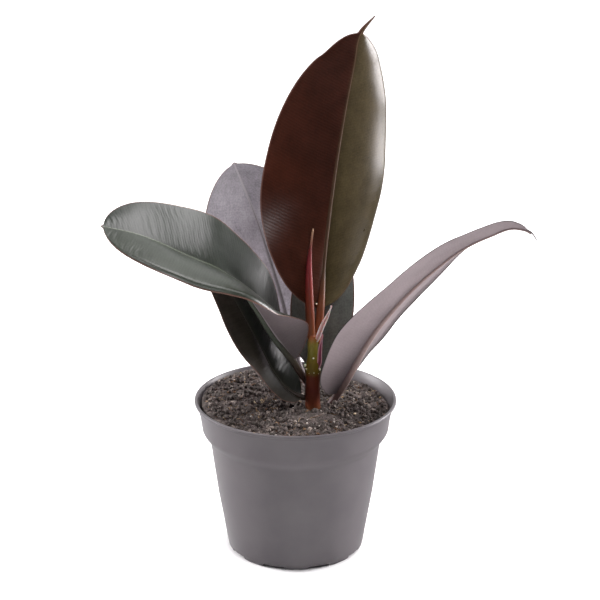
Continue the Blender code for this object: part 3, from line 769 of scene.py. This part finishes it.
LEAVES = {
    "leaf_upright": {
        "line": [(12, 3, 38), (13, 6, 42), (15, 10, 61), (17, 13, 85), (23, 19, 135), (30, 23, 180),
                 (34, 23, 202), (37, 21, 219), (45, 16, 231)],
        "stalk": 22.0, "stalk_radius": 2.5, "half_width": 42.7, "base": 0.52, "point": 0.64, "drip": 0.08,
        "faces": [(0.3, -0.95, 0.15), (0.4, -0.9, 0.05), (0.45, -0.9, 0), (0.5, -0.7, -0.5)],
        "fold": ((25, -20, -12), (-7, 1, 3)), "curl": ((-15, -30, -30), (-40, -35, -29)),
        "roll": ((0, 0, 0), (0, -40, -40)), "ripple": 0.015, "ior": 1.38,
        "colours": ("37160b", "3c331e", "54402f"), "stalk_colours": ("8a4526", "4c3626"),
    },
    "leaf_left": {
        "line": [(9, 1, 12), (5, 4, 16), (-2, 2, 28), (-14, -2, 48), (-23, -5, 64), (-34, -9, 81),
                 (-44, -11, 89), (-59, -14, 97), (-92, -21, 114), (-110, -24, 119)],
        "stalk": 20.0, "stalk_radius": 2.1, "half_width": 40.8, "base": 0.62, "point": 0.50, "drip": 0.01,
        "faces": [(0.7, 0.5, 0.5), (0.85, 0, 0.5), (0.57, -0.25, 0.78), (0.3, -0.4, 0.87)],
        "fold": ((45, 30, 12), (34, 12, 2)), "curl": ((20, -29, -6), (10, -3, -11)),
        # Painted shade: the colour is painted darker towards the stalk.
        "roll": ((0, -60, -40), (0, 0, 0)), "ripple": 0.05, "foot": 0.35, "foot_run": 95.0,
        "colours": ("2f352c", "2a3029", "5b6353"), "stalk_colours": ("3d160e", "4c5246"),
    },
    "leaf_rear_left": {
        "line": [(10, 1, 4), (8, 5, 8), (3, 16, 17), (-3, 30, 34), (-8, 41, 52), (-15, 51, 73),
                 (-23, 61, 95), (-38, 82, 127)],
        "stalk": 28.0, "stalk_radius": 1.9, "half_width": 40.0, "base": 0.50, "point": 0.60, "drip": 0.01,
        "faces": [(0, -0.85, 0.55), (0, -0.9, 0.4), (0, -0.9, 0.45), (0.1, -0.8, 0.6)],
        "fold": ((12, 6, 4), (10, 5, 4)), "curl": FLAT,
        # Painted reflection: the pale grey-lavender colours stand in for the soft boxes' reflection on a dark
        # waxy leaf. Painted light: the colour is three times lighter at the stalk, where the leaves in front
        # shade it.
        "roll": ((0, 0, 0), (0, -40, 0)), "ripple": 0.03, "ior": 1.3, "foot": 3.0, "foot_run": 110.0,
        "colours": ("8b878d", "88848a", "9a9699"), "stalk_colours": ("54302a", "7d777a"),
    },
    "leaf_lower_left": {
        "line": [(10.5, 1, 3), (7, 1, 4), (2.5, 0.5, 5.5), (-4, 0, 10), (-11, -1, 19), (-20, -1, 37),
                 (-27, -1, 51), (-35, 0, 66), (-54, 6, 95)],
        "stalk": 7.5, "stalk_radius": 1.8, "half_width": 23.0, "base": 0.50, "point": 0.60, "drip": 0.05,
        "faces": [(0.5, -0.6, 0.7), (0.85, -0.35, 0.4), (0.8, -0.45, 0.4), (0.6, -0.6, 0.5)],
        "fold": ((25, 0, 6), (8, 0, 6)), "curl": FLAT,
        "roll": FLAT, "ripple": 0.05,
        "colours": ("302c25", "272a25", "38362d"), "stalk_colours": ("3a2a20", "33332c"),
    },
    "leaf_right": {
        "line": [(12, 2, -9), (21, 5, -1), (28, 1, 12), (35, -4, 29), (45, -7, 48), (57, -10, 65),
                 (79, -11, 88), (98, -12, 103), (111, -14, 110), (125, -15, 115), (134, -17, 113),
                 (138, -18, 108)],
        "stalk": 22.0, "stalk_radius": 2.2, "half_width": 35.0, "base": 0.44, "point": 0.63, "drip": 0.05,
        "faces": [(-0.58, 0.63, 0.5), (-0.58, 0.7, 0.42), (-0.51, 0.69, 0.51), (-0.35, 0.54, 0.76),
                  (0.2, 0.3, 0.9)],
        "fold": ((28, 25, 24, 21, 24), (5, 4, -1, 8, 25)),
        "curl": ((-8, -7, -6, -11, -13), (-10, -13, -18, -14, -6)),
        "roll": ((-20, -60, -60, -20, 0), (0, 0, 0)), "ripple": 0.03, "margin": "2c2826",
        "colours": ("2c332a", "2c332a", "50302c"), "stalk_colours": ("3a0f0a", "8d7a76"),
    },
    "leaf_rear_right": {
        "line": [(11, 1, 9), (13, 5.5, 11), (14, 11, 18), (15, 20, 37), (16, 28, 53), (18, 38, 72),
                 (22, 54, 97)],
        "stalk": 14.0, "stalk_radius": 1.9, "half_width": 19.8, "base": 0.50, "point": 0.60, "drip": 0.05,
        "faces": [(0, -0.95, 0.3), (0, -0.95, 0.3), (0, -0.95, 0.3)],
        "fold": ((16, 16, 12), (16, 16, 12)), "curl": FLAT,
        "roll": FLAT, "ripple": 0.05,
        # Painted light: the grey colours stand in for the sheen of a dark leaf, and are raised to make up for
        # the upright leaf's shadow.
        "colours": ("6a6b66", "5e605b", "74726c"), "stalk_colours": ("3d2a20", "5c5b55"),
    },
}


def blend(values, u):
    """Values evenly spaced from 0 to 1, read at u with soft steps between them."""
    values = np.atleast_2d(np.array(values, float).T).T
    place = u * (len(values) - 1)
    first = np.clip(np.floor(place).astype(int), 0, len(values) - 2)
    t = (place - first)[:, None]
    t = t * t * (3 - 2 * t)
    return values[first] * (1 - t) + values[first + 1] * t


def outline(leaf, u):
    """Half the blade's width at u: an oval with a narrow drip tip."""
    base, point, drip = leaf["base"], leaf["point"], leaf["drip"]
    widest = base / (base + point)
    v = np.clip(u / (1 - drip), 0, 1)
    oval = v ** base * (1 - v) ** point / (widest ** base * (1 - widest) ** point)
    tip = DRIP_TIP_WIDTH * np.clip((1 - u) / (drip * 1.5), 0, 1) ** 0.6 * np.clip(u * 4, 0, 1)
    return np.maximum(leaf["half_width"] * (oval ** 4 + tip ** 4) ** 0.25, SLIMMEST)


def spine(leaf, start, u):
    """Midrib points, upper-side and sideways directions, and distances in mm, at u from start to the tip."""
    fine = smooth_line(leaf["line"], np.linspace(0, 1, 400))
    reach = np.concatenate([[0], np.cumsum(np.linalg.norm(np.diff(fine, axis=0), axis=1))])

    def at(distance):
        return np.stack([np.interp(distance, reach, fine[:, k]) for k in range(3)], -1)

    distance = start + (reach[-1] - start) * u
    along = at(distance + 1.5) - at(distance - 1.5)
    along /= np.linalg.norm(along, axis=1, keepdims=True)
    face = blend(leaf["faces"], u)
    face = face - (face * along).sum(1, keepdims=True) * along
    face /= np.linalg.norm(face, axis=1, keepdims=True)
    return at(distance), face, np.cross(along, face), distance


def blade_shape(leaf, rows=200, columns=64):
    """A flat grid bent along the midrib, with the place on the leaf kept in an attribute.

    The attribute holds, in mm, the distance along the midrib, the distance across it, and that to the margin.
    """
    shape = bmesh.new()
    bmesh.ops.create_grid(shape, x_segments=columns, y_segments=rows, size=1.0)
    u = np.array([0.5 + 0.5 * math.sin(math.pi / 2 * spot.co.y) for spot in shape.verts])
    even = np.array([spot.co.x for spot in shape.verts])
    across = even - 0.5 * np.sin(2 * math.pi * even) / (2 * math.pi)  # closer together at midrib and margins
    centre, face, side, distance = spine(leaf, leaf["stalk"], u)
    rise = np.zeros(len(u))
    reach = np.zeros(len(u))
    for half, sign in ((0, -1), (1, 1)):
        fold = np.radians(blend(leaf["fold"][half], u)[:, 0])
        curl = np.radians(blend(leaf["curl"][half], u)[:, 0])
        roll = np.radians(blend(leaf["roll"][half], u)[:, 0])
        share = np.clip(across * sign, 0, 1)
        out = (np.arange(40) + 0.5) / 40 * share[:, None]
        margin = np.clip((out - 1 + ROLLED_MARGIN) / ROLLED_MARGIN, 0, 1)
        bend = fold[:, None] + curl[:, None] * out + roll[:, None] * margin
        reach += sign * np.cos(bend).mean(1) * share
        rise += np.sin(bend).mean(1) * share
    half_width = outline(leaf, u)
    width = half_width * np.abs(across)
    groove = -GROOVE_DEPTH * np.exp(-((width / GROOVE_WIDTH) ** 2)) * np.clip(half_width / 10, 0, 1) * (1 - u)
    along = distance - leaf["stalk"]
    sideways = across * half_width
    drift = np.array([noise.noise(Vector((x, y, 0)) / DRIFT_SIZE) for x, y in zip(along, sideways)])
    swells = np.sin(2 * math.pi * (along - VEIN_SLANT * width + 4 * drift) / RIPPLE_SPACING)
    calm = np.clip(width / CALM_RUN, 0, 1) * np.clip((half_width - width) / CALM_RUN, 0, 1)
    rippled = leaf["ripple"] * (swells * (0.3 + 2.5 * np.abs(drift)) + 3 * drift) * calm
    lift = rise * half_width + groove + rippled
    points = centre + side * (reach * half_width)[:, None] + face * lift[:, None]
    place = shape.verts.layers.float_vector.new("leaf_place")
    for spot, (x, y, height), row, wide, half in zip(shape.verts, points, along, sideways, half_width):
        spot.co = Vector((x, y, height + SOIL_LINE)) * MM
        spot[place] = Vector((row, wide, half - abs(wide)))
    return shape


UNDERSIDE_COLOURS = ("7f7476", "7f7476", "a09496")
MARGIN_COLOUR = "6e5148"
CLOUD_SIZE = 16.0
FLECK_SIZE = 1.3
VEIN_WANDER = 3.5
RIB_WIDTHS = (1.5, 0.35)  # half the midrib's width at its foot, and 150 mm along
RIB_RUN = 150.0
# Painted shading at a leaf's foot fades out over this run, in mm. Every underside gets painted shade there.
PAINTED_SHADE_FOOT_RUN = 50.0


def leaf_material(name, look, upper):
    """One side of a blade, drawn along its own veins.

    Upper side: dark pigment under clear wax, each half with its own tone, so it is deep and glossy.
    Underside: no wax, so it is dull, and the pale tissue shows through mauve-brown.
    Towards the stalk the colour is scaled: painted shade on every underside and on the left
    leaf's upper side, painted light on the rear left leaf's upper side.
    """
    left, right, rib = look["colours"] if upper else UNDERSIDE_COLOURS
    spread = (0.6, 1.4) if upper else (0.85, 1.12)
    # Painted shading at the foot: a factor on the colour at the stalk that fades out over the run. Every
    # underside gets painted shade there.
    foot = look.get("foot", 1.0) if upper else 0.5
    foot_run = look.get("foot_run", PAINTED_SHADE_FOOT_RUN) if upper else PAINTED_SHADE_FOOT_RUN
    vein_strength = 0.10 if upper else 0.03
    bump_strength = 0.25 if upper else 0.15
    roughness = (0.24, 0.36) if upper else (0.5, 0.6)
    ior = look.get("ior", 1.45) if upper else 1.38
    material, tree, output = new_material(name)
    leaf_place = add_node(tree, "ShaderNodeAttribute", attribute_name="leaf_place")
    place = add_node(tree, "ShaderNodeSeparateXYZ", {"Vector": leaf_place.outputs["Vector"]})
    width = add_node(tree, "ShaderNodeMath", {0: place.outputs["Y"]}, operation="ABSOLUTE")
    cloud = add_node(
        tree, "ShaderNodeTexNoise",
        {"Vector": leaf_place.outputs["Vector"], "Scale": 1 / CLOUD_SIZE, "Detail": 3.0, "Roughness": 0.6},
    )
    fleck = add_node(
        tree, "ShaderNodeTexNoise",
        {"Vector": leaf_place.outputs["Vector"], "Scale": 1 / FLECK_SIZE, "Detail": 3.0, "Roughness": 0.7},
    )
    slant = add_node(
        tree, "ShaderNodeMath", {0: width.outputs[0], 1: -VEIN_SLANT, 2: place.outputs["X"]},
        operation="MULTIPLY_ADD",
    )
    bent = add_node(
        tree, "ShaderNodeMath", {0: cloud.outputs["Fac"], 1: VEIN_WANDER, 2: slant.outputs[0]},
        operation="MULTIPLY_ADD",
    )
    turns = add_node(
        tree, "ShaderNodeMath", {0: bent.outputs[0], 1: 2 * math.pi / VEIN_SPACING}, operation="MULTIPLY",
    )
    wave = add_node(tree, "ShaderNodeMath", {0: turns.outputs[0]}, operation="SINE")
    veins = add_node(tree, "ShaderNodeMapRange", {"Value": wave.outputs[0], "From Min": 0.2})
    halves = add_node(
        tree, "ShaderNodeMapRange", {"Value": place.outputs["Y"], "From Min": -1.5, "From Max": 1.5},
    )
    tone = add_node(
        tree, "ShaderNodeMix", {"Factor": halves.outputs[0], MIX_FIRST: left, MIX_SECOND: right},
        data_type="RGBA",
    )
    depth = add_node(
        tree, "ShaderNodeMath", {0: cloud.outputs["Fac"], 1: fleck.outputs["Fac"]}, operation="ADD",
    )
    shade = add_node(
        tree, "ShaderNodeMapRange",
        {
            "Value": depth.outputs[0], "From Min": 0.65, "From Max": 1.35, "To Min": spread[0],
            "To Max": spread[1],
        },
    )
    # Painted light and painted shade: the foot factor scales the colour at the stalk, fading to 1 along the
    # midrib.
    foot_shade = add_node(
        tree, "ShaderNodeMapRange", {"Value": place.outputs["X"], "From Max": foot_run, "To Min": foot},
    )
    value = add_node(
        tree, "ShaderNodeMath", {0: shade.outputs[0], 1: foot_shade.outputs[0]}, operation="MULTIPLY",
    )
    mottled = add_node(
        tree, "ShaderNodeHueSaturation", {"Color": tone.outputs[MIX_RESULT], "Value": value.outputs[0]},
    )
    vein_light = add_node(
        tree, "ShaderNodeMath", {0: veins.outputs[0], 1: vein_strength}, operation="MULTIPLY",
    )
    veined = add_node(
        tree, "ShaderNodeMix",
        {"Factor": vein_light.outputs[0], MIX_FIRST: mottled.outputs[0], MIX_SECOND: rib}, data_type="RGBA",
    )
    rib_width = add_node(
        tree, "ShaderNodeMapRange",
        {"Value": place.outputs["X"], "From Max": RIB_RUN, "To Min": RIB_WIDTHS[0], "To Max": RIB_WIDTHS[1]},
    )
    rib_share = add_node(
        tree, "ShaderNodeMath", {0: width.outputs[0], 1: rib_width.outputs[0]}, operation="DIVIDE",
    )
    rib_mask = add_node(
        tree, "ShaderNodeMapRange",
        {"Value": rib_share.outputs[0], "From Min": 0.7, "From Max": 1.3, "To Min": 1.0, "To Max": 0.0},
    )
    ribbed = add_node(
        tree, "ShaderNodeMix",
        {"Factor": rib_mask.outputs[0], MIX_FIRST: veined.outputs[MIX_RESULT], MIX_SECOND: rib},
        data_type="RGBA",
    )
    edge_mask = add_node(
        tree, "ShaderNodeMapRange",
        {"Value": place.outputs["Z"], "From Min": 0.3, "From Max": 1.1, "To Min": 0.85, "To Max": 0.0},
    )
    edged = add_node(
        tree, "ShaderNodeMix",
        {
            "Factor": edge_mask.outputs[0], MIX_FIRST: ribbed.outputs[MIX_RESULT],
            MIX_SECOND: look.get("margin", MARGIN_COLOUR),
        },
        data_type="RGBA",
    )
    relief = add_node(
        tree, "ShaderNodeMath", {0: wave.outputs[0], 1: 0.5, 2: fleck.outputs["Fac"]},
        operation="MULTIPLY_ADD",
    )
    bump = add_node(
        tree, "ShaderNodeBump",
        {"Height": relief.outputs[0], "Strength": bump_strength, "Distance": 0.08 * MM},
    )
    gloss = add_node(
        tree, "ShaderNodeMapRange",
        {"Value": cloud.outputs["Fac"], "To Min": roughness[0], "To Max": roughness[1]},
    )
    tissue = add_node(
        tree, "ShaderNodeBsdfPrincipled",
        {
            "Base Color": edged.outputs[MIX_RESULT], "Roughness": gloss.outputs[0], "IOR": ior,
            "Normal": bump.outputs[0],
        },
    )
    tree.links.new(tissue.outputs[0], output.inputs["Surface"])
    return material


def stalk_material(name, look):
    """A leaf stalk and midrib: smooth waxy tissue, redder at its foot, paler towards the tip."""
    material, tree, output = new_material(name)
    place = add_node(tree, "ShaderNodeTexCoord")
    along = add_node(tree, "ShaderNodeAttribute", attribute_name="stalk_share")
    tint = add_node(
        tree, "ShaderNodeValToRGB", {"Fac": along.outputs["Fac"]},
        stops=[(0.0, look["stalk_colours"][0]), (0.22, look["stalk_colours"][1])],
    )
    grain = add_node(
        tree, "ShaderNodeTexNoise",
        {"Vector": place.outputs["Object"], "Scale": 1 / (STALK_GRAIN * MM), "Detail": 4.0},
    )
    uneven = add_node(
        tree, "ShaderNodeMapRange", {"Value": grain.outputs["Fac"], "To Min": 0.75, "To Max": 1.25},
    )
    toned = add_node(tree, "ShaderNodeHueSaturation", {"Color": tint.outputs[0], "Value": uneven.outputs[0]})
    tissue = add_node(
        tree, "ShaderNodeBsdfPrincipled", {"Base Color": toned.outputs[0], "Roughness": 0.42, "IOR": 1.42},
    )
    tree.links.new(tissue.outputs[0], output.inputs["Surface"])
    return material


for name, leaf in LEAVES.items():
    form = blade_shape(leaf)
    waxy = leaf_material(name + "_waxy_upper_side", leaf, True)
    blade = add_piece(name + "_blade", form, waxy, [name])
    blade.data.materials.append(leaf_material(name + "_dull_underside", leaf, False))
    thick = blade.vertex_groups.new(name="thick")
    margin = blade.data.attributes["leaf_place"]
    for spot in range(len(blade.data.vertices)):
        thick.add([spot], min(1.0, 0.4 + margin.data[spot].vector[2] / THICK_FROM), "REPLACE")
    shell = blade.modifiers.new("thickness", "SOLIDIFY")
    shell.thickness = BLADE_THICKNESS * MM
    shell.offset = 0
    shell.vertex_group = "thick"
    shell.material_offset = 1
    settle(blade, 50.0)

    centre, face, _, distance = spine(leaf, 0.0, np.linspace(0, MIDRIB_REACH, STALK_ROWS))
    length = distance[-1] / MIDRIB_REACH
    on_blade = np.clip((distance - leaf["stalk"]) / (length - leaf["stalk"]), 0, 1)
    radii = MIDRIB_TIP_RADIUS + (leaf["stalk_radius"] - MIDRIB_TIP_RADIUS) * (1 - on_blade) ** 2
    sink = radii * np.clip(on_blade * 8, 0, 1) * 0.9
    stalk = stalk_shape(centre - face * sink[:, None], radii, STALK_SIDES)
    share = stalk.verts.layers.float.new("stalk_share")
    for place_on, spot in enumerate(stalk.verts):
        spot[share] = (place_on // STALK_SIDES) / STALK_ROWS
    add_piece(name + "_stalk", stalk, stalk_material(name + "_stalk_tissue", leaf))

# ---------------------------------------------------------------------------------------------------------
# Old scales
# Two dry leftovers of earlier bud sheaths, narrow and hollowed like boats: a pale one under the upright leaf
# and a magenta one at the swollen node. Each is held by its foot on the stem.
SCALE_THICKNESS = 0.5
SCALE_HALF_WIDTH = 1.9
PAPER_LINE_SPACING = 0.35
OLD_SCALES = {
    "stipule_pale": {
        "line": [(12.6, 0.2, 40.5), (14.2, -1.6, 45), (16.4, -2, 51.5), (18.7, -2, 56.5), (21.2, -1, 63.2)],
        "faces": [(-0.5, -0.8, 0.3), (-0.4, -0.9, 0.1)], "colours": ("b98d88", "e6d5d2"),
    },
    "stipule_pink": {
        "line": [(12.6, -1.6, 23), (14.6, -2.4, 28), (14.9, -2.3, 34.5), (15.2, -2.2, 39), (16, -1.8, 45.6)],
        "faces": [(-0.6, -0.8, 0), (-0.5, -0.85, 0)], "colours": ("85394f", "c48f9a"),
    },
}


def papery_scale(name, inner, edge):
    """Dry scale tissue: thin, papery, a little translucent, with a paler edge and fine lengthwise lines."""
    material, tree, output = new_material(name)
    scale_place = add_node(tree, "ShaderNodeAttribute", attribute_name="leaf_place")
    place = add_node(tree, "ShaderNodeSeparateXYZ", {"Vector": scale_place.outputs["Vector"]})
    edge_mask = add_node(
        tree, "ShaderNodeMapRange",
        {"Value": place.outputs["Z"], "From Min": 0.1, "From Max": 0.9, "To Min": 1.0, "To Max": 0.0},
    )
    stretch = add_node(
        tree, "ShaderNodeMapping", {"Vector": scale_place.outputs["Vector"], "Scale": (0.1, 1.0, 1.0)},
    )
    lines = add_node(
        tree, "ShaderNodeTexNoise",
        {"Vector": stretch.outputs[0], "Scale": 1 / PAPER_LINE_SPACING, "Detail": 2.0},
    )
    uneven = add_node(
        tree, "ShaderNodeMapRange", {"Value": lines.outputs["Fac"], "To Min": 0.75, "To Max": 1.2},
    )
    tint = add_node(
        tree, "ShaderNodeMix", {"Factor": edge_mask.outputs[0], MIX_FIRST: inner, MIX_SECOND: edge},
        data_type="RGBA",
    )
    toned = add_node(
        tree, "ShaderNodeHueSaturation", {"Color": tint.outputs[MIX_RESULT], "Value": uneven.outputs[0]},
    )
    paper = add_node(
        tree, "ShaderNodeBsdfPrincipled",
        {
            "Base Color": toned.outputs[0], "Roughness": 0.5, "IOR": 1.4, "Subsurface Weight": 0.3,
            "Subsurface Scale": 0.6 * MM,
        },
    )
    tree.links.new(paper.outputs[0], output.inputs["Surface"])
    return material


BOAT = {
    "fold": ((30, 30), (30, 30)), "curl": ((20, 20), (20, 20)), "roll": ((0, 0), (0, 0)), "ripple": 0.0,
    "stalk": 0.0, "half_width": SCALE_HALF_WIDTH, "base": 0.35, "point": 0.8, "drip": 0.02,
}
for name, scale in OLD_SCALES.items():
    papery = papery_scale("papery_" + name, *scale["colours"])
    piece = add_piece(name + "_scale", blade_shape({**scale, **BOAT}, 40, 14), papery, [name])
    shell = piece.modifiers.new("thickness", "SOLIDIFY")
    shell.thickness = SCALE_THICKNESS * MM
    shell.offset = 0
    settle(piece, 60.0)
